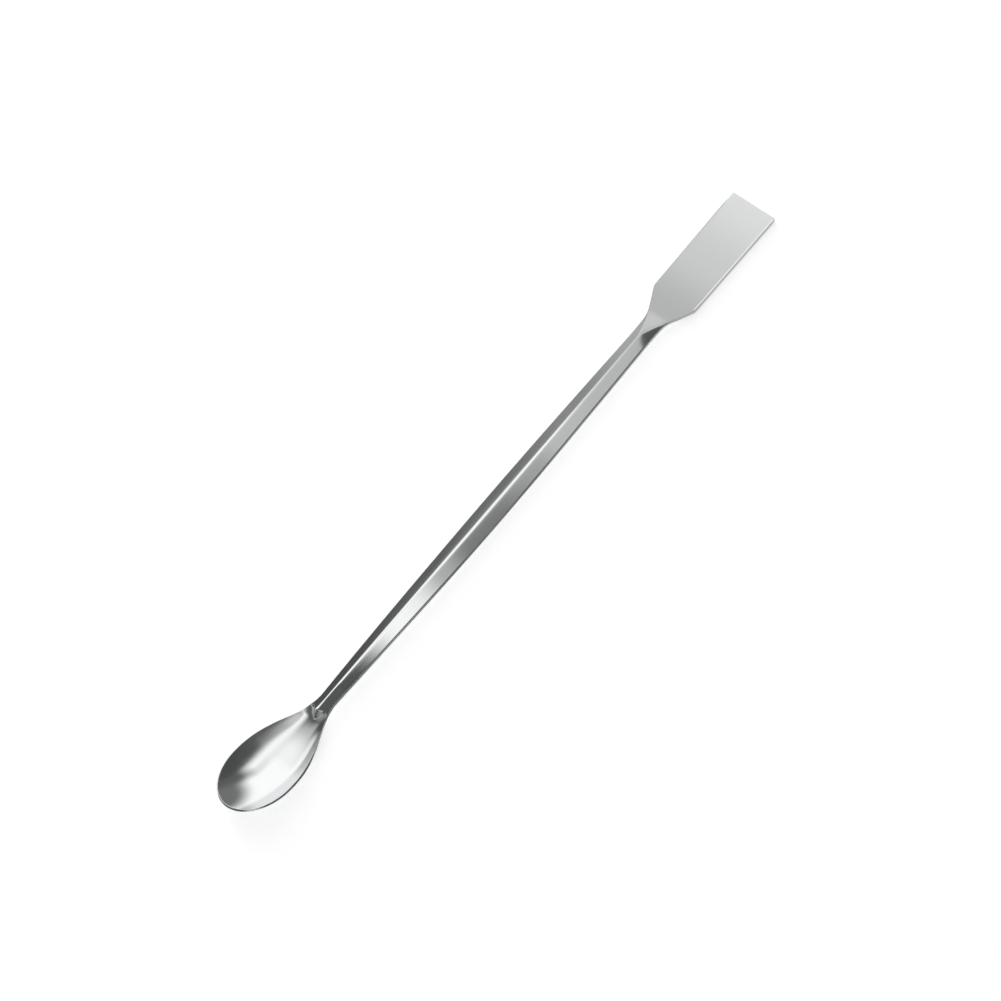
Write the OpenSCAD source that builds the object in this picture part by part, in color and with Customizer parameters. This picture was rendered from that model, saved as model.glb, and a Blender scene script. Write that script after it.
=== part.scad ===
// Double-ended lab spatula, forged from one bar of stainless steel: a spoon bowl at one end,
// a flat blade at the other, and a handle with a ridge along its top and its underside.
//
// Lengths are in millimetres. +X runs from the bowl to the blade and +Z is up. The part lies as
// it comes to rest, on the belly of the bowl and the end of the blade, and the origin is on that
// surface below the middle of the part.
//
// The form is one loft. A station along the part, counted from the tip of the bowl, gives each
// ring of points, and an angle across the width gives each point of a ring.

/* [Overall] */
// Length from the tip of the bowl to the end of the blade
overall_length = 220; // [200:1:260]
// Width and height of the small bevel along the edges
edge_break = 0.15; // [0.05:0.05:0.15]

/* [Bowl] */
// Greatest width
bowl_width = 21.45; // [16:0.1:26]
// Distance from the tip to the widest place
nose_length = 14.3; // [10:0.1:20]
// Distance from the tip to the narrowest place of the neck
bowl_length = 41; // [38:0.5:50]
// Depth of the hollow below the rim, at the widest place
bowl_depth = 4.4; // [3:0.1:6]
// Thickness of the wall, measured straight down
bowl_wall = 1.1; // [0.8:0.1:1.6]
// Height of the rim at the tip above the rim at the neck
tip_lift = 4.6; // [2:0.1:7]
// Width of the sloping face on the rim
rim_face = 0.45; // [0.3:0.05:0.8]
// Share of the wall's thickness that the sloping face takes
rim_slant = 0.72; // [0.4:0.02:0.74]
// Length over which that face runs out towards the neck
rim_fade = 13; // [8:0.5:16]

/* [Handle] */
// Greatest width, at the middle
handle_width = 8; // [6:0.1:10]
// Width at the neck of the bowl
bowl_neck_width = 5.4; // [4:0.1:6]
// Width at the neck of the blade
blade_neck_width = 6.2; // [4:0.1:6.5]
// Height of the top ridge above the middle of the side edges
top_ridge = 1.75; // [1:0.05:2.5]
// Depth of the bottom ridge below the middle of the side edges
bottom_ridge = 1.15; // [0.8:0.05:1.2]
// Height of the blunt side edges
side_edge_height = 1.1; // [0.8:0.1:1.6]
// Half width of the rounding on the ridges
ridge_rounding = 0.35; // [0.1:0.05:0.6]
// Rise of the handle from its middle to the neck of the bowl
handle_bow = 0.55; // [0:0.05:2]

/* [Prow, where the ridge drops into the bowl] */
// Distance from the foot of the prow to the narrowest place of the neck
prow_setback = 6.1; // [5:0.1:7]
// Steepness of the drop: the length in which most of it is done
prow_run = 0.25; // [0.2:0.05:1]
// How far the foot runs back for each millimetre away from its tip
foot_slope = 1.3; // [0.5:0.1:1.5]
// How far it runs back in all
foot_back = 2.3; // [1:0.1:2.6]

/* [Blade] */
// Width at the end
blade_width = 15.7; // [12:0.1:22]
// Width at the shoulders
shoulder_width = 15.1; // [12:0.1:22]
// Length from the shoulders to the end
blade_length = 34; // [24:1:44]
// Angle between the shoulders and the handle, in degrees
shoulder_angle = 30; // [20:1:45]
// Thickness
blade_thickness = 1.3; // [0.8:0.1:1.6]
// Radius of the two corners at the end
corner_radius = 0.7; // [0.3:0.1:3]
// Fall of the facet that cuts the ridge off, for each millimetre along it
facet_slope = 0.2; // [0.15:0.01:0.3]
// How much the flanks of the ridge steepen in front of that facet
root_steepening = 0.42; // [0:0.02:0.5]

/* [Hidden] */

// Places along the part
handle_middle = overall_length / 2;
toe = bowl_length - prow_setback;       // tip of the prow's foot
heel = toe + foot_back;                 // the foot at the side edges
prow_end = toe + 3;                     // the crest over the prow starts to run out
rim_fade_end = toe - 1;                 // the rim's own face has run out
rim_fade_start = rim_fade_end - rim_fade;
lift_start = bowl_length - 3;           // the rim rises from here to the tip
shoulder = overall_length - blade_length;
fade_end = shoulder - 2;                // the blade is flat from here to the end
fade_start = fade_end - 12;             // the side edges start to change to the blade's
root_start = fade_start - 1.5;          // the flanks start to steepen
root_end = fade_start + 1;
facet_start = fade_start + 1.4;         // the facet leaves the ridge
corner_start = overall_length - corner_radius;

// Lengths over which forms change
underside_blend = 12;                   // from the belly of the bowl to the bottom ridge
bend_in = 6;                            // stations bending back in front of the prow
bend_hold = 2;                          // staying so
bend_out = 8;                           // and straightening behind it

// Shape exponents
back_power = 1.2;                       // outline from the widest place to the neck
waist_power = 1.75;                     // taper of the handle
hollow_power = 2;                       // section across the hollow
throat_power = 1.8;                     // floor of the hollow, from the widest place to the neck
dip_power = 1.5;                        // how the rim comes out of its dip at the prow
lift_power = 1.1;                       // rise of the rim

// Rounded changes between two forms
prow_margin = 0.3;                      // how far the prow's own surface passes the ridge
foot_rounding = 0.3;                    // tip of the prow's foot, and where it stops
prow_rounding = 0.2;                    // crest between the prow and the ridge
flare_rounding = 0.96;                  // hollow curve between the handle and a shoulder
shoulder_rounding = 0.15;               // outer curve between a shoulder and the blade
facet_rounding = 0.15;                  // crest between the flanks and the facet
blade_rounding = 0.1;                   // foot of the facet on the blade

// Fineness of the loft
across_step = 9;                        // degrees of sine spacing across the width
nose_step = 7.5;                        // degrees of arc along the nose
corner_step = 18;                       // degrees of arc round a corner of the blade
corner_steps = 4;
back_stations = 14;
prow_stations = 14;
prow_crowding = 1.5;                    // exponent that crowds them at the foot
neck_stations = 10;
handle_stations = 16;
root_stations = 30;

overrun = 1;                            // the loft passes the end and is cut square there
steel = "silver";

// Sums

function share(x, from, to) = min(1, max(0, (x - from) / (to - from)));
function mix(a, b, part) = a + (b - a) * part;
function ease(part) = part * part * (3 - 2 * part);
function half_wave(part) = (1 - cos(180 * part)) / 2;
function soft_max(a, b, width) = (a + b + sqrt(pow(a - b, 2) + pow(width, 2))) / 2;
function soft_min(a, b, width) = (a + b - sqrt(pow(a - b, 2) + pow(width, 2))) / 2;

// Outline

function nose_q(x) = max(0, 1 - x / nose_length);
function nose_sine(x) = sqrt(1 - pow(nose_q(x), 2));
function nose_half(x) = bowl_width / 2 * nose_sine(x);
function back_half(x) =
    mix(bowl_width, bowl_neck_width,
        half_wave(pow(share(x, nose_length, bowl_length), back_power))) / 2;
function handle_half(x) =
    x < handle_middle
        ? mix(handle_width, bowl_neck_width,
              pow(share(x, handle_middle, bowl_length), waist_power)) / 2
        : mix(handle_width, blade_neck_width,
              pow(share(x, handle_middle, fade_start), waist_power)) / 2;
function shoulder_half(x) = shoulder_width / 2 + (x - shoulder) * tan(shoulder_angle);
function blade_half(x) =
    shoulder_width / 2 + (blade_width - shoulder_width) / 2 * (x - shoulder) / blade_length;
function flared_half(x) =
    soft_min(soft_max(handle_half(x), shoulder_half(x), flare_rounding),
             blade_half(x), shoulder_rounding);
function corner_inset(x) =
    corner_radius - sqrt(pow(corner_radius, 2) - pow(max(0, x - corner_start), 2));
function half_width(x) =
    x < nose_length ? nose_half(x) : x < bowl_length ? back_half(x) : flared_half(x);
function trimmed_half(x) =
    half_width(x)
    - corner_inset(min(x, corner_start + corner_radius * sin(corner_steps * corner_step)));

// Heights, from the middle plane of the handle

function side_height(x) =
    handle_bow * (1 - half_wave(share(x, bowl_length, handle_middle)))
    + tip_lift * pow(max(0, 1 - x / lift_start), lift_power);
function fade(x) = ease(share(x, fade_start, fade_end));
function half_edge(x) = mix(side_edge_height, blade_thickness, fade(x)) / 2;

// The section of the handle is a roof with a rounded ridge. At the blade its flanks steepen, and
// a facet that falls to the blade cuts the ridge off in a V
function ridge_fall(s, round) =
    (sqrt(s * s + round * round) - round) / (sqrt(1 + round * round) - round);
function flank(x, s, height) =
    mix(height + root_steepening * ease(share(x, root_start, root_end)), half_edge(x),
        ridge_fall(s, ridge_rounding / half_width(x)));
function facet(x, height) = height - facet_slope * (x - facet_start);
function roof(x, s, height) =
    soft_max(soft_min(flank(x, s, height), facet(x, height), facet_rounding),
             half_edge(x), blade_rounding * fade(x));

// Depth of the hollow: a dish with an elliptical nose, whose floor comes up towards the neck
function hollow(x, s) =
    bowl_depth * (1 - pow(share(x, nose_length, lift_start), throat_power))
    * (1 - pow(pow(nose_q(x), 2) + s * s * (1 - pow(nose_q(x), 2)), hollow_power / 2));

// The rim dips in front of the neck
function rim_end(x) = ease(share(x, rim_fade_start, rim_fade_end));
function rim_dip(x) =
    bowl_wall / 2 * rim_end(x) * (1 - pow(share(x, rim_fade_end, heel), dip_power));

// The prow: behind its foot the floor of the bowl rises steeply, past the ridge
prow_height = top_ridge + prow_margin - bowl_wall / 2;
function prow(station) = prow_height * (1 - exp(-max(0, station - toe) / prow_run));
function prow_crest(station) =
    prow_rounding * share(station, toe, toe + foot_rounding)
    * share(station, prow_end + bend_hold, prow_end);

function top_height(station, x, s) =
    side_height(x)
    + soft_min(roof(x, s, top_ridge), bowl_wall / 2 - hollow(x, s) - rim_dip(x) + prow(station),
               prow_crest(station));
function bottom_height(station, x, s) =
    side_height(x)
    + mix(-bowl_wall / 2 - hollow(x, s) - rim_dip(x) * (1 - s * s), -roof(x, s, bottom_ridge),
          ease(share(station, toe, toe + underside_blend)));

// Edges: a sloping face on the rim of the bowl, and a small bevel elsewhere

function face_width(x) = mix(rim_face, edge_break, rim_end(x));
function top_drop(x) = mix(rim_slant * bowl_wall, edge_break, rim_end(x));
function inner_place(x) = x + face_width(x) * nose_q(x);
function inner_half(x) = trimmed_half(x) - face_width(x) * nose_sine(x);

// Loft

// The stations bend back on both sides of the prow, so that one of them runs along its foot
bend_start = toe + bend_hold;
bend_end = bend_start + bend_out;
function bend(station) =
    ease(share(station, toe - bend_in, toe)) * ease(share(station, bend_end, bend_start));
function rounded(y) = sqrt(y * y + pow(foot_rounding, 2)) - foot_rounding;
function place(station, y) =
    station + bend(station) * soft_min(foot_slope * rounded(y), foot_back, foot_rounding);

function nose_station(angle) = nose_length * (1 - cos(angle));
lip = nose_station(nose_step / 2);      // the first ring, which lies in the edge of the rim
columns = [for (angle = [-90 : across_step : 90]) angle];
stations = [
    lip,
    for (angle = [nose_step : nose_step : 90]) nose_station(angle),
    for (i = [1 : back_stations]) mix(nose_length, toe, i / back_stations),
    for (i = [1 : prow_stations]) mix(toe, prow_end, pow(i / prow_stations, prow_crowding)),
    for (i = [1 : neck_stations]) mix(prow_end, bend_end, i / neck_stations),
    for (i = [1 : handle_stations]) mix(bend_end, root_start, i / handle_stations),
    for (i = [1 : root_stations]) mix(root_start, shoulder + 1, i / root_stations),
    for (i = [0 : corner_steps]) corner_start + corner_radius * sin(i * corner_step),
    overall_length + overrun
];

function on_edge(station, angle) = abs(angle) == 90 || station == lip;
function across(station, angle) =
    on_edge(station, angle) ? sin(angle) : sin(angle) / cos(across_step);
function point(station, angle, top) =
    let (u = across(station, angle),
         edge = on_edge(station, angle),
         ring_x = place(station, u * half_width(station)),
         x = edge ? ring_x : inner_place(ring_x),
         y = u * (edge ? trimmed_half(ring_x) : inner_half(ring_x)),
         s = abs(y) / half_width(x),
         z = top
             ? top_height(station, x, s) - (edge ? top_drop(x) : 0)
             : bottom_height(station, x, s) + (edge ? edge_break : 0))
    [x, y, z];
function ring(station) = concat(
    [for (angle = columns) point(station, angle, true)],
    [for (angle = columns) point(station, -angle, false)]);

// A closed end, in strips between the top and the bottom of its ring
function end_cap(ring_index, facing) =
    let (n = len(columns), first = 2 * n * ring_index)
    [for (k = [0 : n - 2])
        let (a = first + k, b = first + k + 1, c = first + 2 * n - 2 - k, d = first + 2 * n - 1 - k)
        each facing ? [[a, b, c], [a, c, d]] : [[a, c, b], [a, d, c]]];

module loft() {
    count = 2 * len(columns);
    last = len(stations) - 1;
    points = [for (station = stations) each ring(station)];
    sides = [
        for (i = [0 : last - 1], k = [0 : count - 1])
            let (a = i * count + k, b = i * count + (k + 1) % count)
            each [[a, b, b + count], [a, b + count, a + count]]
    ];
    polyhedron(points, concat(end_cap(0, false), sides, end_cap(last, true)));
}

// The square end of the blade
module end_cut() {
    size = [2 * overrun, 2 * blade_width, 2 * blade_width];
    translate([overall_length, -size.y / 2, -size.z / 2]) cube(size);
}

// Rest: the part pitches until the belly and the end of the blade touch the surface
blade_underside = -blade_thickness / 2;
rest_tilt = max([
    for (x = stations) if (x < toe)
        atan2(blade_underside - bottom_height(x, x, 0), overall_length - x)
]);
rest_lift = max([
    for (x = stations)
        min(x, overall_length) * sin(rest_tilt) - bottom_height(x, x, 0) * cos(rest_tilt)
]);
tip_foot = bottom_height(lip, lip, 0) + edge_break;
rest_middle =
    ((overall_length + lip) * cos(rest_tilt) + (tip_foot - blade_underside) * sin(rest_tilt)) / 2;

module spatula() {
    color(steel)
        translate([-rest_middle, 0, rest_lift])
            rotate([0, rest_tilt, 0])
                difference() {
                    loft();
                    end_cut();
                }
}

spatula();
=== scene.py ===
"""Look of a double-ended lab spatula of polished stainless steel.

The spatula is one forged piece: a spoon bowl, a ridged handle and a flat blade.  Its surface is
one loft, worked out here on a fine grid from the sizes and formulas of the solid part.  A finer
prow, sharper ridges and the soft edges that polishing leaves are added to them.

Lengths in the size classes are millimetres.  The handle's own frame has x from the tip of the
bowl to the end of the blade, y to the left and z up, with z = 0 at the middle plane of the
handle's side edges.  The finished mesh is in metres in the part's frame.
"""

from __future__ import annotations

import logging
import math
from dataclasses import dataclass, field
from enum import Enum

import bpy
import numpy as np
from mathutils import Matrix, Vector

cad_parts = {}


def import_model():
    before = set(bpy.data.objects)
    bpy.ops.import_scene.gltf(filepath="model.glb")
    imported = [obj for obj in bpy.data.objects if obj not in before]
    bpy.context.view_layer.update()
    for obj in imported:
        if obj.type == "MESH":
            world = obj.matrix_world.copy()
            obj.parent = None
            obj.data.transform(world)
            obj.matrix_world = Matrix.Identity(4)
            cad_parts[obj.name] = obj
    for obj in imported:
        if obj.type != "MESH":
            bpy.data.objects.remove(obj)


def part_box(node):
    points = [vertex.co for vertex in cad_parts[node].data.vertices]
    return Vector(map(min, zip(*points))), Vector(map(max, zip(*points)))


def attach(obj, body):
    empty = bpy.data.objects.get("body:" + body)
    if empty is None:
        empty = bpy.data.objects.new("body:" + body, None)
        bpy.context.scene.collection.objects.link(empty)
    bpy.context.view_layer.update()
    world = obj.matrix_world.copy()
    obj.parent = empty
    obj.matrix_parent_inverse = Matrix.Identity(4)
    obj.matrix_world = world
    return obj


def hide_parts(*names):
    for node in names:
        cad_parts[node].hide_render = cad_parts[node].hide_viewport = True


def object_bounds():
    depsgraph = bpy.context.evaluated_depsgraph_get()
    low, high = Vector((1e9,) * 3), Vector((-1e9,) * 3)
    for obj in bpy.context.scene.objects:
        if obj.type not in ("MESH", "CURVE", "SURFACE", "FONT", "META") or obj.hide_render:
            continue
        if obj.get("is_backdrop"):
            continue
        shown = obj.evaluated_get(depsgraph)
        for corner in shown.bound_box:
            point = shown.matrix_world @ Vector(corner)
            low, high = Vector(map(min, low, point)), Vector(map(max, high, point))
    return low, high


LOG = logging.getLogger("lab_spatula")
NODE = "spatula"
BODY = "root"
MM = 0.001
NEAR = 1e-4  # step between two places when a slope is taken, in millimetres
TINY = 1e-6  # keeps a gradient above zero
QUAD = np.array([[0, 1, 2, 3]])  # one face with four corners

Array = np.ndarray


# Sums shared by the shapes


def share(x: Array, start: float, end: float) -> Array:
    """Return how far x is from start to end, held between 0 and 1."""
    return np.clip((x - start) / (end - start), 0.0, 1.0)


def mix(a: Array | float, b: Array | float, part: Array) -> Array:
    """Return the value the given part of the way from a to b."""
    return a + (b - a) * part


def ease(part: Array) -> Array:
    """Return a part of the way that starts and stops gently: 3p^2 - 2p^3."""
    return part * part * (3.0 - 2.0 * part)


def half_wave(part: Array) -> Array:
    """Return half of a cosine wave, from 0 to 1: (1 - cos(pi p)) / 2."""
    return (1.0 - np.cos(np.pi * part)) / 2.0


def soft_max(a: Array, b: Array, width: float) -> Array:
    """Return the larger value, with a rounded change between the two."""
    return (a + b + np.hypot(a - b, width)) / 2.0


def soft_min(a: Array, b: Array, width: float) -> Array:
    """Return the smaller value, with a rounded change between the two."""
    return (a + b - np.hypot(a - b, width)) / 2.0


# Meshes and nodes


def mesh_object(name: str, vertices: Array, groups: list[Array]) -> bpy.types.Object:
    """Return a smooth mesh object.

    Args:
        name: Name of the piece.
        vertices: Points in metres.
        groups: Faces, as arrays with one row of point numbers for each face.

    Returns:
        The object, at the origin.
    """
    mesh = bpy.data.meshes.new(name)
    mesh.vertices.add(len(vertices))
    mesh.vertices.foreach_set("co", vertices.ravel())
    sizes = np.concatenate([np.full(len(group), group.shape[1]) for group in groups])
    corners = np.concatenate([group.ravel() for group in groups])
    mesh.loops.add(len(corners))
    mesh.loops.foreach_set("vertex_index", corners)
    mesh.polygons.add(len(sizes))
    mesh.polygons.foreach_set("loop_start", np.concatenate([[0], np.cumsum(sizes)[:-1]]))
    mesh.update(calc_edges=True)
    mesh.validate()
    mesh.shade_smooth()
    piece = bpy.data.objects.new(name, mesh)
    bpy.context.scene.collection.objects.link(piece)
    return piece


def linear(hex_colour: str) -> tuple[float, float, float, float]:
    """Return a linear colour from an sRGB hex value.

    Args:
        hex_colour: Six hex digits, such as "c8c8c4".

    Returns:
        Red, green, blue and an alpha of 1.
    """
    parts = [int(hex_colour[i:i + 2], 16) / 255 for i in (0, 2, 4)]
    red, green, blue = (p / 12.92 if p <= 0.04045 else ((p + 0.055) / 1.055) ** 2.4 for p in parts)
    return red, green, blue, 1.0


def add_node(tree: bpy.types.NodeTree, kind: str, settings: dict | None = None,
             inputs: dict | None = None) -> bpy.types.Node:
    """Add a node with its settings, and set or link its inputs.

    Args:
        tree: Node tree that gets the node.
        kind: Blender's name for the node.
        settings: Values of the node's own properties.
        inputs: Socket name or number to a value, or to the output socket it is linked from.

    Returns:
        The node.
    """
    node = tree.nodes.new(kind)
    for name, value in (settings or {}).items():
        setattr(node, name, value)
    for name, value in (inputs or {}).items():
        if isinstance(value, bpy.types.NodeSocket):
            tree.links.new(value, node.inputs[name])
        else:
            node.inputs[name].default_value = value
    return node


def math_node(tree: bpy.types.NodeTree, operation: str,
              *values: bpy.types.NodeSocket | float) -> bpy.types.NodeSocket:
    """Return the output of one Math node on the given values."""
    return add_node(tree, "ShaderNodeMath", {"operation": operation},
                    dict(enumerate(values))).outputs["Value"]


def empty_tree(owner: bpy.types.Material | bpy.types.World) -> bpy.types.NodeTree:
    """Return the owner's node tree, with no nodes in it.

    Args:
        owner: Material or world.

    Returns:
        Its node tree.
    """
    owner.use_nodes = True
    owner.node_tree.nodes.clear()
    return owner.node_tree


# Finish


@dataclass(frozen=True)
class PolishedSteel:
    """Forged stainless steel, polished on a cloth wheel.

    The wheel runs along the handle and leaves very fine lines there; the surface under them
    still swells a little, as forged and rolled metal does.

    Attributes:
        colour: Colour of the metal.
        roughness: Roughness between the polishing lines.
        spread: Least and greatest roughness, as shares of it.
        line_width: Spacing of the polishing lines, in millimetres.
        line_length: Length of the polishing lines, in millimetres.
        line_depth: Depth of the polishing lines, in millimetres.
        swell: Size of the slow swells, in millimetres.
        swell_depth: Depth of the slow swells, in millimetres.
    """

    colour: str = "e4e6e6"
    roughness: float = 0.14
    spread: tuple[float, float] = (0.8, 1.25)
    line_width: float = 0.25
    line_length: float = 14.0
    line_depth: float = 0.0015
    swell: float = 9.0
    swell_depth: float = 0.02

    def build(self) -> bpy.types.Material:
        """Build the material: noise stretched along the handle, over slow round swells.

        The stretched noise drives the roughness and a very fine bump, the swells a slow one.

        Returns:
            The material.
        """
        material = bpy.data.materials.new("polished_stainless_steel")
        tree = empty_tree(material)
        place = add_node(tree, "ShaderNodeTexCoord").outputs["Object"]
        along, aside = 1 / (self.line_length * MM), 1 / (self.line_width * MM)
        stretched = add_node(tree, "ShaderNodeMapping", inputs={
            "Vector": place, "Scale": (along, aside, aside)}).outputs["Vector"]
        lines = add_node(tree, "ShaderNodeTexNoise", inputs={
            "Vector": stretched, "Scale": 1.0, "Detail": 3.0, "Roughness": 0.6}).outputs["Fac"]
        swells = add_node(tree, "ShaderNodeTexNoise", inputs={
            "Vector": place, "Scale": 1 / (self.swell * MM), "Detail": 1.0}).outputs["Fac"]
        rough = add_node(tree, "ShaderNodeMapRange", inputs={
            "Value": lines, "From Min": 0.3, "From Max": 0.7,
            "To Min": self.roughness * self.spread[0],
            "To Max": self.roughness * self.spread[1]}).outputs["Result"]
        fine = add_node(tree, "ShaderNodeBump", inputs={
            "Height": lines, "Strength": 0.25, "Distance": self.line_depth * MM}).outputs["Normal"]
        normal = add_node(tree, "ShaderNodeBump", inputs={
            "Height": swells, "Strength": 1.0, "Distance": self.swell_depth * MM,
            "Normal": fine}).outputs["Normal"]
        shader = add_node(tree, "ShaderNodeBsdfPrincipled", inputs={
            "Base Color": linear(self.colour), "Metallic": 1.0,
            "Roughness": rough, "Normal": normal})
        add_node(tree, "ShaderNodeOutputMaterial", inputs={"Surface": shader.outputs["BSDF"]})
        return material


# Spatula


class Face(Enum):
    """The two faces of the loft, with the direction in which each looks."""

    TOP = 1.0
    UNDERSIDE = -1.0


@dataclass(frozen=True)
class Bowl:
    """Sizes of the spoon bowl.

    Attributes:
        width: Greatest width.
        nose: Distance from the tip to the widest place.
        length: Distance from the tip to the narrowest place of the neck.
        depth: Depth of the hollow below the rim.
        wall: Thickness of the wall, measured straight down.
        tip_lift: Height of the rim at the tip above the rim at the neck.
        lift_setback: Distance from the place where the rim starts to rise to the neck.
        back_power: Exponent of the outline between the widest place and the neck.
        hollow_power: Exponent of the section across the hollow.
        lift_power: Exponent of the rise of the rim.
        throat_power: Exponent with which the hollow runs out towards the neck.
        rim_fade: Length over which the rim's own face runs out towards the neck.
        rim_stop: Distance from the place where it has run out to the foot of the prow.
        dip_power: Exponent with which the rim comes out of its dip at the prow.
    """

    width: float = 21.45
    nose: float = 14.3
    length: float = 41.0
    depth: float = 4.4
    wall: float = 1.1
    tip_lift: float = 4.6
    lift_setback: float = 3.0
    back_power: float = 1.2
    hollow_power: float = 2.0
    lift_power: float = 1.1
    throat_power: float = 1.8
    rim_fade: float = 13.0
    rim_stop: float = 1.0
    dip_power: float = 1.5


@dataclass(frozen=True)
class Prow:
    """Sizes of the prow, the V-shaped step where the top ridge drops into the bowl.

    Above its foot stands a steep wall, and a gentler slope, the brow, goes on up to the ridge.

    Attributes:
        setback: Distance from the foot of the prow to the narrowest place of the neck.
        wall_slope: Rise of the wall for each millimetre along the spatula.
        fillet: Size of the hollow curve between the wall and the bowl.
        brow_height: Height at which the brow would start at the foot itself.
        brow_slope: Rise of the brow for each millimetre along the spatula.
        brow_rounding: Size of the rounding between the wall and the brow.
        crest_rounding: Size of the rounding where the brow meets the ridge.
        crest_start: Length behind the foot in which that rounding grows to its full size.
        crest_stop: Distances behind the foot at which it starts to shrink, and is gone.
        foot_slope: How far the foot runs back for each millimetre from its tip.
        foot_back: How far it runs back in all.
        foot_rounding: Size of the rounding at the tip of the foot, and where it stops.
        bend_in: Length in front of the foot over which the stations bend back like it.
        bend_hold: Length behind the foot over which they stay so.
        bend_out: Distance behind the foot at which they are straight again.
    """

    setback: float = 6.1
    wall_slope: float = 5.0
    fillet: float = 1.1
    brow_height: float = 0.55
    brow_slope: float = 0.8
    brow_rounding: float = 0.1
    crest_rounding: float = 0.02
    crest_start: float = 0.2
    crest_stop: tuple[float, float] = (3.0, 6.0)
    foot_slope: float = 1.3
    foot_back: float = 2.3
    foot_rounding: float = 0.3
    bend_in: float = 6.0
    bend_hold: float = 2.0
    bend_out: float = 10.0


@dataclass(frozen=True)
class Handle:
    """Sizes of the handle.

    Attributes:
        width: Greatest width, at the middle.
        bowl_neck: Width at the neck of the bowl.
        blade_neck: Width at the neck of the blade.
        top_ridge: Height of the top ridge above the middle of the side edges.
        bottom_ridge: Depth of the bottom ridge below the middle of the side edges.
        side_edge: Height of the blunt side edges.
        ridge_rounding: Half width of the rounding on the ridges.
        bow: Rise of the handle from its middle to the neck of the bowl.
        waist_power: Exponent of the taper.
        underside_blend: Length over which the belly of the bowl becomes the bottom ridge.
    """

    width: float = 8.0
    bowl_neck: float = 5.4
    blade_neck: float = 6.2
    top_ridge: float = 1.75
    bottom_ridge: float = 1.15
    side_edge: float = 1.1
    ridge_rounding: float = 0.2
    bow: float = 0.55
    waist_power: float = 1.75
    underside_blend: float = 12.0


@dataclass(frozen=True)
class Root:
    """Where the ridge runs out at the blade on one face.

    Attributes:
        lead: How far before the fade the flanks begin to steepen.
        facet_lag: How far past the start of the fade the facet meets the ridge.
        rounding: Size of the hollow curve between the facet and the blade.
        steep_lag: How far past the start of the fade the flanks are at their steepest.
        facet_rounding: Size of the rounding between the flanks and the facet.
    """

    lead: float
    facet_lag: float
    rounding: float
    steep_lag: float = 1.0
    facet_rounding: float = 0.15


@dataclass(frozen=True)
class Blade:
    """Sizes of the flat blade.

    Attributes:
        width: Width at the end.
        shoulder_width: Width at the shoulders.
        length: Length from the shoulders to the end.
        shoulder_angle: Angle between the shoulders and the handle, in degrees.
        thickness: Thickness of the plate.
        corner: Radius of the two corners at the end.
        fade_lead: Distance from the place where the ridges start to sink to the shoulders.
        fade_stop: Distance from the place where the blade is flat to the shoulders.
        root_steepening: Rise of the flanks' own ridge line where they run out at the blade.
        facet_slope: Fall of the facet that the blade cuts from the ridge, per millimetre.
        flare_rounding: Size of the hollow curve between the handle and a shoulder.
        shoulder_rounding: Size of the outer curve between a shoulder and the blade.
        top_root: Run-out of the top ridge, drawn out by the polishing wheel.
        bottom_root: Run-out of the bottom ridge.
    """

    width: float = 15.7
    shoulder_width: float = 15.1
    length: float = 34.0
    shoulder_angle: float = 30.0
    thickness: float = 1.3
    corner: float = 0.7
    fade_lead: float = 14.0
    fade_stop: float = 2.0
    root_steepening: float = 0.42
    facet_slope: float = 0.2
    flare_rounding: float = 0.96
    shoulder_rounding: float = 0.15
    top_root: Root = Root(lead=3.0, facet_lag=2.0, rounding=0.3)
    bottom_root: Root = Root(lead=1.5, facet_lag=1.4, rounding=0.1)


@dataclass(frozen=True)
class EdgeWear:
    """Soft edge that polishing leaves: a sloping bevel that rolls over into the side.

    Attributes:
        drop: How far the bevel lowers the face at the outline.
        slope: Rise of the bevel for each millimetre inwards from the outline.
        roll: Radius with which it rolls over at the outline.
    """

    drop: float
    slope: float
    roll: float


@dataclass(frozen=True)
class Loft:
    """Fineness of the grid.

    Attributes:
        across: Steps across the width on each face, spaced as a sine so they crowd at the edges.
        nose: Steps along the nose.
        back: Steps from the widest place of the bowl to the foot of the prow.
        prow: Steps along the prow.
        neck: Steps from the prow to the plain handle.
        handle: Steps along the plain handle.
        fade: Steps where the ridges sink into the blade.
        blade: Steps along the flat of the blade.
        end: Steps round the end of the blade.
        prow_run: Length of the prow's fine steps.
        neck_run: Length of the neck's steps.
        fade_run: Distance past the shoulders at which the steps of the fade end.
    """

    across: int = 112
    nose: int = 60
    back: int = 80
    prow: int = 56
    neck: int = 48
    handle: int = 84
    fade: int = 64
    blade: int = 20
    end: int = 24
    prow_run: float = 3.0
    neck_run: float = 8.0
    fade_run: float = 2.0


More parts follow.
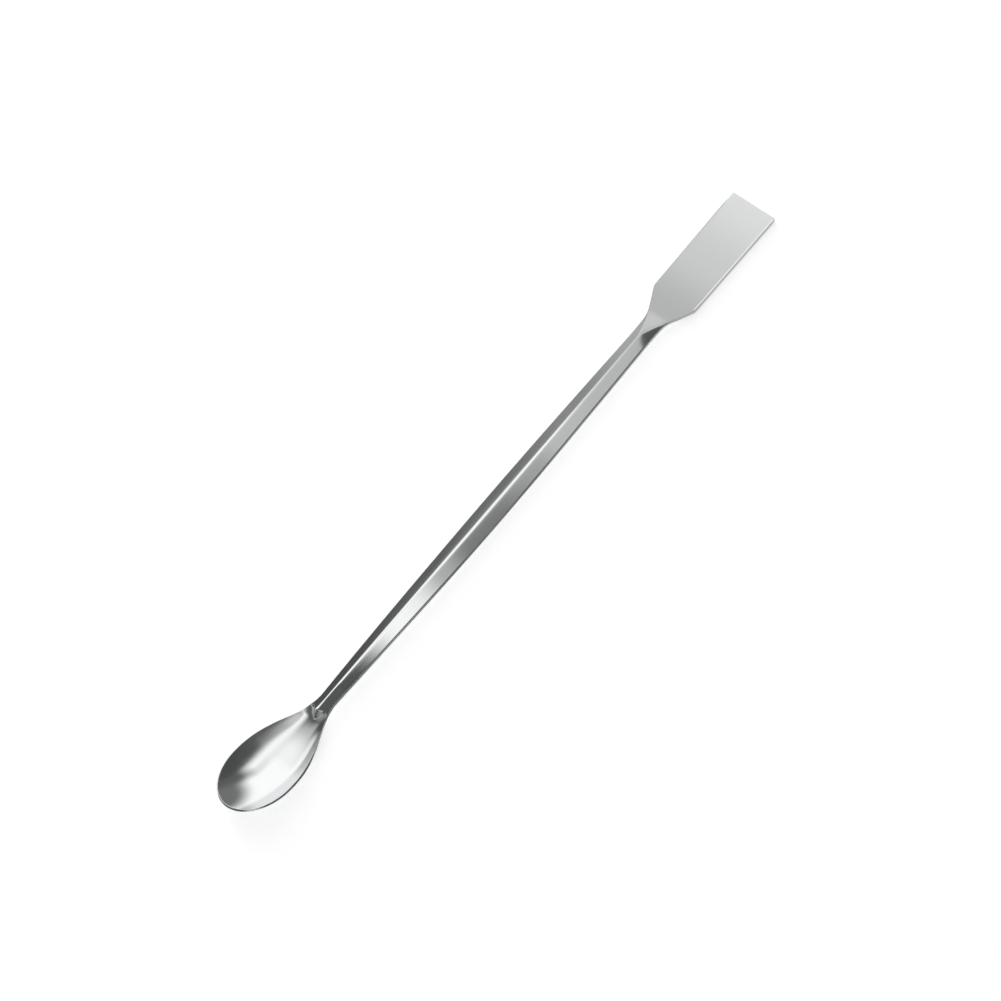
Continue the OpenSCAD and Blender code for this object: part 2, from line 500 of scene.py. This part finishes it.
@dataclass
class Spatula:
    """The whole spatula: outline, heights and the loft between them.

    Attributes:
        overall: Length from the tip of the bowl to the end of the blade.
        bowl: Sizes of the bowl.
        prow: Sizes of the prow.
        handle: Sizes of the handle.
        blade: Sizes of the blade.
        rim_wear: Edge of the bowl's rim, whose face is square to the sloping wall.
        side_wear: Blunt side edge of the handle.
        blade_wear: Edge of the blade.
        crest: Rounding of the line where a bevel meets a face.
        loft: Fineness of the grid.
        steel: Finish of the whole surface.
    """

    overall: float = 220.0
    bowl: Bowl = field(default_factory=Bowl)
    prow: Prow = field(default_factory=Prow)
    handle: Handle = field(default_factory=Handle)
    blade: Blade = field(default_factory=Blade)
    rim_wear: EdgeWear = EdgeWear(drop=0.8, slope=0.95, roll=0.12)
    side_wear: EdgeWear = EdgeWear(drop=0.1, slope=1.0, roll=0.4)
    blade_wear: EdgeWear = EdgeWear(drop=0.15, slope=0.33, roll=0.12)
    crest: float = 0.03
    loft: Loft = field(default_factory=Loft)
    steel: PolishedSteel = field(default_factory=PolishedSteel)

    @property
    def middle(self) -> float:
        """Return the place of the handle's middle."""
        return self.overall / 2.0

    @property
    def toe(self) -> float:
        """Return the place of the foot of the prow."""
        return self.bowl.length - self.prow.setback

    @property
    def lift_start(self) -> float:
        """Return the place from which the rim rises, and the hollow deepens, towards the tip."""
        return self.bowl.length - self.bowl.lift_setback

    @property
    def shoulder(self) -> float:
        """Return the place where the blade reaches its full width."""
        return self.overall - self.blade.length

    @property
    def fade_start(self) -> float:
        """Return the place where the ridges start to sink into the blade."""
        return self.shoulder - self.blade.fade_lead

    @property
    def fade_end(self) -> float:
        """Return the place where the blade is flat."""
        return self.shoulder - self.blade.fade_stop

    # Outline

    def nose_share(self, x: Array) -> Array:
        """Return how far x is from the widest place to the tip: 0 there, 1 at the tip."""
        return np.maximum(0.0, 1.0 - x / self.bowl.nose)

    def half_width(self, x: Array) -> Array:
        """Return half the width of the outline.

        The nose is a quarter of an ellipse.  Half a cosine wave carries it to the neck.  The
        handle swells by a power law towards its middle, and a straight shoulder joins it to the
        tapered blade, with rounded changes on both sides of the shoulder.

        Args:
            x: Places along the spatula.

        Returns:
            Half widths.
        """
        bowl, handle, blade = self.bowl, self.handle, self.blade
        nose = bowl.width / 2 * np.sqrt(1 - self.nose_share(x) ** 2)
        back = mix(bowl.width, handle.bowl_neck,
                   half_wave(share(x, bowl.nose, bowl.length) ** bowl.back_power)) / 2
        near = mix(handle.width, handle.bowl_neck,
                   share(x, self.middle, bowl.length) ** handle.waist_power) / 2
        far = mix(handle.width, handle.blade_neck,
                  share(x, self.middle, self.fade_start) ** handle.waist_power) / 2
        grip = np.where(x < self.middle, near, far)
        run = x - self.shoulder
        flank = blade.shoulder_width / 2 + run * math.tan(math.radians(blade.shoulder_angle))
        side = mix(blade.shoulder_width, blade.width, run / blade.length) / 2
        flared = soft_min(soft_max(grip, flank, blade.flare_rounding), side,
                          blade.shoulder_rounding)
        past = np.clip(x - (self.overall - blade.corner), 0.0, blade.corner)
        corner = blade.corner - np.sqrt(np.maximum(0.0, blade.corner ** 2 - past ** 2))
        whole = np.where(x < bowl.nose, nose, np.where(x < bowl.length, back, flared))
        return whole - corner

    def inset(self, x: Array, y: Array) -> Array:
        """Return the distance of a point from the outline, seen from above.

        With F = w^2 - y^2, which is 0 on the outline, the distance is F over the length of its
        gradient.  The square end of the blade is the other limit.

        Args:
            x: Places along the spatula.
            y: Distances from its middle.

        Returns:
            Distances, 0 on the outline and growing inwards.
        """
        slope = (self.half_width(x + NEAR) ** 2
                 - self.half_width(np.maximum(x - NEAR, 0.0)) ** 2) / (2 * NEAR)
        width = self.half_width(x)
        gradient = np.maximum(np.hypot(slope, 2 * y), TINY)
        return np.minimum(np.maximum(width ** 2 - y ** 2, 0.0) / gradient, self.overall - x)

    # Heights

    def side_height(self, x: Array) -> Array:
        """Return the height of the middle of the side edges, and of the rim of the bowl.

        Half a cosine wave lifts the handle from its middle to the neck of the bowl, and a power
        law lifts the rim from there to the tip.

        Args:
            x: Places along the spatula.

        Returns:
            Heights above the handle's middle plane.
        """
        bow = self.handle.bow * (1 - half_wave(share(x, self.bowl.length, self.middle)))
        rise = np.maximum(0.0, 1.0 - x / self.lift_start) ** self.bowl.lift_power
        return bow + self.bowl.tip_lift * rise

    def fade(self, x: Array) -> Array:
        """Return how far the ridges have sunk into the blade."""
        return share(x, self.fade_start, self.fade_end)

    def half_edge(self, x: Array) -> Array:
        """Return half the height of the side edges."""
        return mix(self.handle.side_edge, self.blade.thickness, ease(self.fade(x))) / 2

    def roof(self, x: Array, s: Array, face: Face) -> Array:
        """Return the height of the handle's face above its middle plane.

        The section is a roof with a rounded ridge.  At the blade its flanks steepen, and a facet
        that falls to the blade cuts the ridge off in a V.

        Args:
            x: Places along the spatula.
            s: Shares of the half width.
            face: Which face.

        Returns:
            Heights, positive on both faces.
        """
        top = face is Face.TOP
        ridge = self.handle.top_ridge if top else self.handle.bottom_ridge
        root = self.blade.top_root if top else self.blade.bottom_root
        round_ = self.handle.ridge_rounding / self.half_width(x)
        fall = (np.hypot(s, round_) - round_) / (np.hypot(1.0, round_) - round_)
        steep = self.blade.root_steepening * ease(
            share(x, self.fade_start - root.lead, self.fade_start + root.steep_lag))
        flanks = mix(ridge + steep, self.half_edge(x), fall)
        facet = ridge - self.blade.facet_slope * (x - self.fade_start - root.facet_lag)
        cut = soft_min(flanks, facet, root.facet_rounding)
        return soft_max(cut, self.half_edge(x), root.rounding * ease(self.fade(x)))

    def hollow(self, x: Array, s: Array) -> Array:
        """Return the depth of the hollow below the rim.

        It is a dish with an elliptical nose, and a power law brings its floor up towards the
        neck.

        Args:
            x: Places along the spatula.
            s: Shares of the half width.

        Returns:
            Depths.
        """
        q = self.nose_share(x)
        radius = np.sqrt(q ** 2 + s ** 2 * (1 - q ** 2))
        run = share(x, self.bowl.nose, self.lift_start)
        return (self.bowl.depth * (1 - run ** self.bowl.throat_power)
                * (1 - radius ** self.bowl.hollow_power))

    def rim_end(self, x: Array) -> Array:
        """Return how far the rim's own face has run out towards the neck."""
        end = self.toe - self.bowl.rim_stop
        return ease(share(x, end - self.bowl.rim_fade, end))

    def rim_sink(self, x: Array) -> Array:
        """Return how far the rim dips in front of the foot of the prow."""
        back = share(x, self.toe - self.bowl.rim_stop, self.toe + self.prow.foot_back)
        return self.bowl.wall / 2 * self.rim_end(x) * (1 - back ** self.bowl.dip_power)

    def height(self, station: Array, x: Array, s: Array, face: Face) -> Array:
        """Return the height of a face before its edges are softened.

        On the top, the floor of the bowl steps up at the prow and meets the roof of the handle.
        The underside changes from the belly of the bowl to the roof turned upside down.

        Args:
            station: Station of each point, which the changes at the neck follow.
            x: Places along the spatula.
            s: Shares of the half width.
            face: Which face.

        Returns:
            Heights above the handle's middle plane.
        """
        prow = self.prow
        rim = face.value * self.bowl.wall / 2 - self.hollow(x, s)
        behind = station - self.toe
        if face is Face.TOP:
            floor = rim - self.rim_sink(x)
            rise = soft_min(prow.wall_slope * behind, prow.brow_height + prow.brow_slope * behind,
                            prow.brow_rounding)
            step = soft_max(0.0, rise, prow.fillet)
            shrink, gone = prow.crest_stop
            crest = (prow.crest_rounding * share(behind, 0.0, prow.crest_start)
                     * share(behind, gone, shrink))
            level = soft_min(self.roof(x, s, face), floor + step, crest)
        else:
            rim = rim - self.rim_sink(x) * (1 - s ** 2)
            part = ease(share(behind, 0.0, self.handle.underside_blend))
            level = mix(rim, -self.roof(x, s, face), part)
        return self.side_height(x) + level

    def wear(self, x: Array, face: Face) -> EdgeWear:
        """Return the edge's drop, slope and roll along the spatula, blended at both necks.

        The underside of the bowl has the same small wear as the handle.

        Args:
            x: Places along the spatula.
            face: Which face.

        Returns:
            Wear whose three sizes are arrays like x.
        """
        rim = self.rim_wear if face is Face.TOP else self.side_wear
        bowl_part = 1 - self.rim_end(x)
        blade_part = ease(self.fade(x))
        parts = [
            mix(mix(getattr(self.side_wear, name), getattr(rim, name), bowl_part),
                getattr(self.blade_wear, name), blade_part)
            for name in ("drop", "slope", "roll")
        ]
        return EdgeWear(*parts)

    def outer(self, station: Array, x: Array, face: Face) -> Array:
        """Return the height at the outline where a face's bevel ends, from the side's middle."""
        height = self.height(station, x, np.ones_like(x), face) - self.side_height(x)
        return height - face.value * self.wear(x, face).drop

    def surface(self, station: Array, x: Array, s: Array, face: Face) -> Array:
        """Return the height of a face with its edge bevelled and rolled over to the outline.

        The bevel is a plane that rises inwards from the outline.  It meets the face in a rounded
        crest.  The last of the height rolls over as a quarter of an ellipse.

        Args:
            station: Station of each point.
            x: Places along the spatula.
            s: Shares of the half width.
            face: Which face.

        Returns:
            Heights above the handle's middle plane.
        """
        wear = self.wear(x, face)
        inset = self.inset(x, s * self.half_width(x))
        middle = self.side_height(x)
        base = (self.height(station, x, s, face) - middle) * face.value
        outer = self.outer(station, x, face) * face.value
        bevelled = soft_min(base, outer + wear.slope * inset, self.crest)
        turn = 1 - np.clip(inset / wear.roll, 0.0, 1.0)
        seam = (self.outer(station, x, Face.TOP) + self.outer(station, x, Face.UNDERSIDE)) / 2
        rolled = (bevelled - face.value * seam) * (1 - np.sqrt(1 - turn ** 2))
        return middle + face.value * (bevelled - rolled)

    # Mesh

    def stations(self) -> Array:
        """Return the stations, close together where the shape turns quickly.

        Round the nose and the end of the blade they follow the sine of an angle.

        Returns:
            Stations from the tip, which itself is left out, to the end.
        """
        loft, toe = self.loft, self.toe
        prow_end = toe + loft.prow_run
        neck_end = prow_end + loft.neck_run
        flat_start = self.shoulder + loft.fade_run
        arc = np.linspace(0.0, math.pi / 2, loft.nose + 1)[1:]
        end = np.linspace(0.0, math.pi / 2, loft.end + 1)[1:]
        flat_end = self.overall - self.blade.corner
        return np.concatenate([
            self.bowl.nose * (1 - np.cos(arc)),
            np.linspace(self.bowl.nose, toe, loft.back + 1)[1:],
            np.linspace(toe, prow_end, loft.prow + 1)[1:],
            np.linspace(prow_end, neck_end, loft.neck + 1)[1:],
            np.linspace(neck_end, self.fade_start, loft.handle + 1)[1:],
            np.linspace(self.fade_start, flat_start, loft.fade + 1)[1:],
            np.linspace(flat_start, flat_end, loft.blade + 1)[1:],
            flat_end + self.blade.corner * np.sin(end),
        ])

    def face_points(self, stations: Array, shares: Array, face: Face) -> Array:
        """Return the points of one face as a grid of stations by shares.

        Near the prow the stations bend back on both sides, so that one of them runs along its
        V-shaped foot.

        Args:
            stations: Stations along the spatula.
            shares: Shares of the half width.
            face: Which face.

        Returns:
            Points in the handle's own frame.
        """
        station, s = np.meshgrid(stations, shares, indexing="ij")
        prow = self.prow
        behind = station - self.toe
        bend = (ease(share(behind, -prow.bend_in, 0.0))
                * ease(share(behind, prow.bend_out, prow.bend_hold)))
        away = np.hypot(s * self.half_width(station), prow.foot_rounding) - prow.foot_rounding
        back = soft_min(prow.foot_slope * away, prow.foot_back, prow.foot_rounding)
        x = station + bend * back
        y = s * self.half_width(x)
        return np.stack([x, y, self.surface(station, x, s, face)], axis=-1)

    def rest(self, points: Array, box: tuple[Vector, Vector]) -> Array:
        """Return the points pitched as the spatula rests, in metres in the part's frame.

        The pitch is that of the line from the lower edge of the blade's end that just touches
        the belly.  The box of the solid part then gives the place.

        Args:
            points: Points in the handle's own frame.
            box: Lowest and highest corners of the solid part.

        Returns:
            The same points, one in each row.
        """
        flat = points.reshape(-1, 3)
        belly = flat[flat[:, 0] < self.toe]
        end = -self.blade.thickness / 2
        pitch = np.max(np.arctan2(end - belly[:, 2], self.overall - belly[:, 0]))
        turn = np.array([[math.cos(pitch), 0.0, math.sin(pitch)],
                         [0.0, 1.0, 0.0],
                         [-math.sin(pitch), 0.0, math.cos(pitch)]])
        turned = flat @ turn.T * MM
        low, high = turned.min(axis=0), turned.max(axis=0)
        place = (np.array(box[0]) + np.array(box[1]) - low - high) / 2
        place[2] = box[0][2] - low[2]
        return turned + place

    def build(self, box: tuple[Vector, Vector]) -> bpy.types.Object:
        """Build the closed mesh of the spatula.

        Both faces share the grid.  Each ring runs across the top and back along the underside,
        and a single point closes the tip of the bowl.

        Args:
            box: Lowest and highest corners of the solid part.

        Returns:
            The spatula's surface.
        """
        angles = np.linspace(-math.pi / 2, math.pi / 2, self.loft.across + 1)
        shares = np.sin(angles)
        stations = self.stations()
        top = self.face_points(stations, shares, Face.TOP)
        under = self.face_points(stations, shares[1:-1][::-1], Face.UNDERSIDE)
        rings = np.concatenate([top, under], axis=1)
        count, around = rings.shape[:2]
        tip = np.array([[0.0, 0.0, rings[0, 0, 2]]])
        points = np.concatenate([rings.reshape(-1, 3), tip])
        vertices = self.rest(points, box)

        row = np.arange(count - 1)[:, None] * around
        column = np.arange(around)[None, :]
        after = (column + 1) % around
        quads = np.stack([row + column, row + after, row + around + after,
                          row + around + column], axis=-1).reshape(-1, 4)
        first = np.arange(around)
        fan = np.stack([np.full(around, len(vertices) - 1), (first + 1) % around, first], axis=-1)
        return mesh_object("spatula_surface", vertices, [quads, fan])

    def dress(self, piece: bpy.types.Object) -> None:
        """Give the surface its steel, and put it in the place of the solid part.

        Args:
            piece: The spatula's surface.
        """
        piece.data.materials.append(self.steel.build())
        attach(piece, BODY)
        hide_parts(NODE)


# Studio


@dataclass(frozen=True)
class PaleFloor:
    """Matt white studio floor.

    Attributes:
        colour: Colour of the floor.
        lift: Brightness added where it is seen, so that it reads as a white background.
        half_side: Half its side, in metres.
    """

    colour: str = "fafafa"
    lift: float = 0.55
    half_side: float = 4.0

    def build(self, level: float) -> bpy.types.Object:
        """Build the floor, at the level the spatula lies on.

        Args:
            level: Height of the floor, in metres.

        Returns:
            The floor, marked as stage.
        """
        a = self.half_side
        vertices = np.array([[-a, -a, level], [a, -a, level], [a, a, level], [-a, a, level]])
        floor = mesh_object("floor", vertices, [QUAD])
        material = bpy.data.materials.new("matt_white_floor")
        tree = empty_tree(material)
        matt = add_node(tree, "ShaderNodeBsdfDiffuse", inputs={"Color": linear(self.colour)})
        ray = add_node(tree, "ShaderNodeLightPath").outputs
        seen = math_node(tree, "MAXIMUM", ray["Is Camera Ray"], ray["Is Glossy Ray"])
        seen = math_node(tree, "MAXIMUM", seen, ray["Is Transmission Ray"])
        lift = math_node(tree, "MULTIPLY", seen, self.lift)
        glow = add_node(tree, "ShaderNodeEmission", inputs={"Strength": lift})
        both = add_node(tree, "ShaderNodeAddShader", inputs={
            0: matt.outputs["BSDF"], 1: glow.outputs["Emission"]})
        add_node(tree, "ShaderNodeOutputMaterial", inputs={"Surface": both.outputs["Shader"]})
        floor.data.materials.append(material)
        floor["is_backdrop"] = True
        return floor


@dataclass(frozen=True)
class Window:
    """A soft-edged bright field of the studio round the spatula.

    Its limits are angles in degrees: tilt is turned about the handle's line, 0 straight up and
    positive to the left, and lean is the angle from the plane square to the handle, positive
    towards the blade.

    Attributes:
        tilt: Lowest and highest tilt.
        lean: Lowest and highest lean.
        soft: Widths of the soft edges, in the order of the limits.
        strength: Brightness, below zero for a gap inside another field.
    """

    tilt: tuple[float, float]
    lean: tuple[float, float]
    soft: tuple[float, float, float, float]
    strength: float


class Hang(Enum):
    """How a card hangs: the part's axis that runs across it, and the one square to it."""

    LEVEL = ("Y", "Z")
    STANDING = ("Z", "Y")


@dataclass(frozen=True)
class Card:
    """A flat card hung in the studio, which only reflections show.

    A polished tool looks as bright or dark as what it mirrors: dark cards give its flanks their
    depth, and shaded ones give them the slow changes along the handle.  Sizes are millimetres.

    Attributes:
        name: Name of the card.
        hang: How it hangs.
        away: Height of a level card, or distance of a standing card to the left.
        along: Its limits along the handle.
        across: Its limits across.
        soft: Widths of its soft edges, along and across.
        shades: Places along the handle, each with its brightness.
    """

    name: str
    hang: Hang
    away: float
    along: tuple[float, float]
    across: tuple[float, float]
    soft: tuple[float, float]
    shades: tuple[tuple[float, float], ...]

    def build(self) -> bpy.types.Object:
        """Build the card, which shows only in reflections.

        Returns:
            The card, marked as stage.
        """
        corners = []
        for along, across in ((0, 0), (1, 0), (1, 1), (0, 1)):
            place = {"X": self.along[along]}
            place[self.hang.value[0]] = self.across[across]
            place[self.hang.value[1]] = self.away
            corners.append([place[axis] * MM for axis in "XYZ"])
        card = mesh_object(self.name, np.array(corners), [QUAD])
        card.data.materials.append(self.material())
        for way in ("camera", "diffuse", "transmission", "shadow", "volume_scatter"):
            setattr(card, f"visible_{way}", False)
        card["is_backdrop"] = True
        return card

    def material(self) -> bpy.types.Material:
        """Build the card's shading: shades along it, and see-through towards its edges.

        Returns:
            The material.
        """
        material = bpy.data.materials.new(f"{self.name}_cloth")
        tree = empty_tree(material)
        place = add_node(tree, "ShaderNodeTexCoord").outputs["Object"]
        parts = add_node(tree, "ShaderNodeSeparateXYZ", inputs={"Vector": place}).outputs
        level: bpy.types.NodeSocket | float = self.shades[0][1]
        for (start, before), (end, after) in zip(self.shades[:-1], self.shades[1:]):
            step = add_node(tree, "ShaderNodeMapRange", {"interpolation_type": "SMOOTHSTEP"}, {
                "Value": parts["X"], "From Min": start * MM, "From Max": end * MM,
                "To Min": 0.0, "To Max": after - before}).outputs["Result"]
            level = math_node(tree, "ADD", step, level)
        cover: bpy.types.NodeSocket | float = 1.0
        sides = ((parts["X"], self.along, self.soft[0]),
                 (parts[self.hang.value[0]], self.across, self.soft[1]))
        for value, (low, high), soft in sides:
            for edge, inner in ((low, low + soft), (high, high - soft)):
                part = add_node(tree, "ShaderNodeMapRange", {"interpolation_type": "SMOOTHSTEP"}, {
                    "Value": value, "From Min": edge * MM,
                    "From Max": inner * MM}).outputs["Result"]
                cover = math_node(tree, "MULTIPLY", part, cover)
        glow = add_node(tree, "ShaderNodeEmission", inputs={"Strength": level})
        clear = add_node(tree, "ShaderNodeBsdfTransparent")
        both = add_node(tree, "ShaderNodeMixShader", inputs={
            0: cover, 1: clear.outputs["BSDF"], 2: glow.outputs["Emission"]})
        add_node(tree, "ShaderNodeOutputMaterial", inputs={"Surface": both.outputs["Shader"]})
        return material


@dataclass(frozen=True)
class Studio:
    """Light and camera.

    Attributes:
        dim: Brightness of the studio outside its bright fields.
        windows: Its bright fields.
        cards: Its cards.
        distance: Distance of the camera from its target, in metres.
        frame_width: Width that the view spans at the target, in metres.
        sensor: Width of the camera's sensor, in millimetres.
        reach: Greatest distance at which the camera sees, in metres.
        target: Point at the middle of the view.
        towards: Direction from the target to the camera.
        up: Direction of the top of the view.
    """

    dim: float = 0.12
    windows: tuple[Window, ...] = (
        # A broad field on the left, in two layers
        Window((8.0, 130.0), (8.0, 48.5), (24.0, 16.0, 10.0, 20.0), 0.6),
        Window((8.0, 130.0), (-2.5, 48.5), (24.0, 16.0, 13.0, 20.0), 0.52),
        # A bright field overhead, with a gap on its left and a faint field on its right
        Window((-17.5, 8.0), (3.0, 33.0), (20.0, 24.0, 22.0, 24.0), 1.12),
        Window((-2.0, 15.0), (12.0, 34.0), (10.0, 12.0, 14.0, 10.0), -0.27),
        Window((-23.0, -11.0), (24.0, 37.0), (10.0, 12.0, 14.0, 12.0), 0.22),
        # The same field's arm towards the bowl
        Window((-29.0, 0.0), (-15.0, 3.0), (22.0, 22.0, 10.0, 22.0), 1.1),
        Window((-33.0, -29.0), (-17.0, -5.0), (12.0, 22.0, 9.0, 8.0), 1.1),
        # Small fields: low on the left, then towards the blade, and towards the bowl
        Window((74.0, 125.0), (-3.0, 10.0), (16.0, 20.0, 10.0, 8.0), 0.38),
        Window((0.0, 90.0), (54.0, 80.0), (30.0, 20.0, 14.0, 10.0), 0.07),
        Window((42.0, 110.0), (-46.0, -14.0), (20.0, 20.0, 14.0, 14.0), 0.2),
        Window((14.0, 40.0), (-50.0, -27.0), (10.0, 14.0, 10.0, 8.0), 0.45),
        Window((-100.0, -32.0), (-62.0, -24.0), (14.0, 14.0, 14.0, 14.0), 0.5),
    )
    cards: tuple[Card, ...] = (
        # Behind the far flank, paler towards the blade
        Card("far_flag", Hang.STANDING, 14.0, (-80.0, 110.0), (-4.0, 12.0), (3.0, 2.5),
             ((-60.0, 0.08), (-25.0, 0.118), (5.0, 0.165), (40.0, 0.29), (65.0, 0.47),
              (90.0, 0.65))),
        # Dark above the near flank, at the bowl's end of the handle
        Card("neck_flag", Hang.LEVEL, 40.0, (-89.0, -36.0), (-32.0, -5.0), (16.0, 3.0),
             ((-80.0, 0.08),)),
        Card("prow_flag", Hang.LEVEL, 12.0, (-78.5, -62.0), (-9.0, -0.1), (2.0, 0.8),
             ((-80.0, 0.1),)),
        # Shaded above the near flank, over the rest of the handle
        Card("near_screen", Hang.LEVEL, 30.0, (-36.0, 84.0), (-10.5, -0.3), (12.0, 1.5),
             ((-28.0, 1.05), (-17.0, 0.5), (-6.5, 0.22), (4.0, 0.22), (21.0, 0.42), (31.0, 0.6),
              (59.0, 0.58))),
        # Above the blade, and low over the floor for the near edges
        Card("blade_screen", Hang.LEVEL, 40.0, (34.0, 170.0), (-1.0, 50.0), (16.0, 2.0),
             ((50.0, 0.8), (62.0, 0.72), (80.0, 0.54), (84.0, 0.56), (100.0, 0.73),
              (121.0, 0.9))),
        Card("floor_card", Hang.LEVEL, 0.2, (-84.0, 112.0), (-70.0, -4.6), (4.0, 0.4),
             ((-60.0, 0.2), (-42.0, 0.35), (-15.0, 0.16), (11.0, 0.2), (38.0, 0.42), (60.0, 0.45),
              (90.0, 0.6))),
        # Dark above the steep end of the near flank
        Card("end_flag", Hang.LEVEL, 40.0, (34.0, 88.0), (-40.0, -11.5), (6.0, 2.5),
             ((70.0, 0.09),)),
    )
    distance: float = 3.0
    frame_width: float = 0.2684
    sensor: float = 36.0
    reach: float = 20.0
    target: tuple[float, float, float] = (0.0025, 0.0, 0.0022)
    towards: tuple[float, float, float] = (-0.2004, -0.5, 0.8425)
    up: tuple[float, float, float] = (0.7456, 0.48, 0.4622)

    def world(self) -> None:
        """Build the world: dim all round, with its bright fields."""
        world = bpy.data.worlds.new("studio")
        tree = empty_tree(world)
        way = add_node(tree, "ShaderNodeTexCoord").outputs["Generated"]
        parts = add_node(tree, "ShaderNodeSeparateXYZ", inputs={"Vector": way}).outputs
        tilt = math_node(tree, "ARCTAN2", parts["Y"], parts["Z"])
        lean = math_node(tree, "ARCSINE", parts["X"])
        total: bpy.types.NodeSocket | float = self.dim
        for window in self.windows:
            total = math_node(tree, "ADD", self.field_of(tree, window, tilt, lean), total)
        light = add_node(tree, "ShaderNodeBackground", inputs={
            "Color": (1.0, 1.0, 1.0, 1.0), "Strength": total})
        add_node(tree, "ShaderNodeOutputWorld", inputs={"Surface": light.outputs["Background"]})
        bpy.context.scene.world = world

    def field_of(self, tree: bpy.types.NodeTree, window: Window, tilt: bpy.types.NodeSocket,
                 lean: bpy.types.NodeSocket) -> bpy.types.NodeSocket:
        """Return the brightness of one bright field, with soft edges on its four sides.

        Args:
            tree: Node tree of the world.
            window: The bright field.
            tilt: Tilt of the direction looked in, in radians.
            lean: Lean of that direction, in radians.

        Returns:
            Output socket with the brightness.
        """
        total: bpy.types.NodeSocket | float = window.strength
        angles = (tilt, tilt, lean, lean)
        for angle, edge, soft, sign in zip(angles, window.tilt + window.lean, window.soft,
                                           (1.0, -1.0, 1.0, -1.0)):
            half = sign * math.radians(soft / 2)
            level = add_node(tree, "ShaderNodeMapRange", {"interpolation_type": "SMOOTHSTEP"}, {
                "Value": angle, "From Min": math.radians(edge) - half,
                "From Max": math.radians(edge) + half}).outputs["Result"]
            total = math_node(tree, "MULTIPLY", level, total)
        return total

    def camera(self) -> None:
        """Place the camera."""
        data = bpy.data.cameras.new("camera")
        data.sensor_width = self.sensor
        data.lens = self.sensor * self.distance / self.frame_width
        data.clip_end = self.reach
        camera = bpy.data.objects.new("camera", data)
        bpy.context.scene.collection.objects.link(camera)
        back = Vector(self.towards).normalized()
        right = Vector(self.up).cross(back).normalized()
        up = back.cross(right)
        turn = Matrix((right, up, back)).transposed().to_4x4()
        camera.matrix_world = Matrix.Translation(Vector(self.target) + back * self.distance) @ turn
        bpy.context.scene.camera = camera

    def build(self, level: float) -> None:
        """Build the world, the floor, the cards and the camera.

        Args:
            level: Height of the floor, in metres.
        """
        self.world()
        PaleFloor().build(level)
        for card in self.cards:
            card.build()
        self.camera()
        bpy.context.scene.view_settings.view_transform = "Standard"


def main() -> None:
    """Build the spatula and the studio."""
    logging.basicConfig(level=logging.INFO, format="%(message)s")
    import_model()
    solid_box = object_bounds()
    spatula = Spatula()
    piece = spatula.build(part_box(NODE))
    spatula.dress(piece)
    LOG.info("%s: %d faces", piece.name, len(piece.data.polygons))
    Studio().build(solid_box[0][2])


if __name__ == "__main__":
    main()
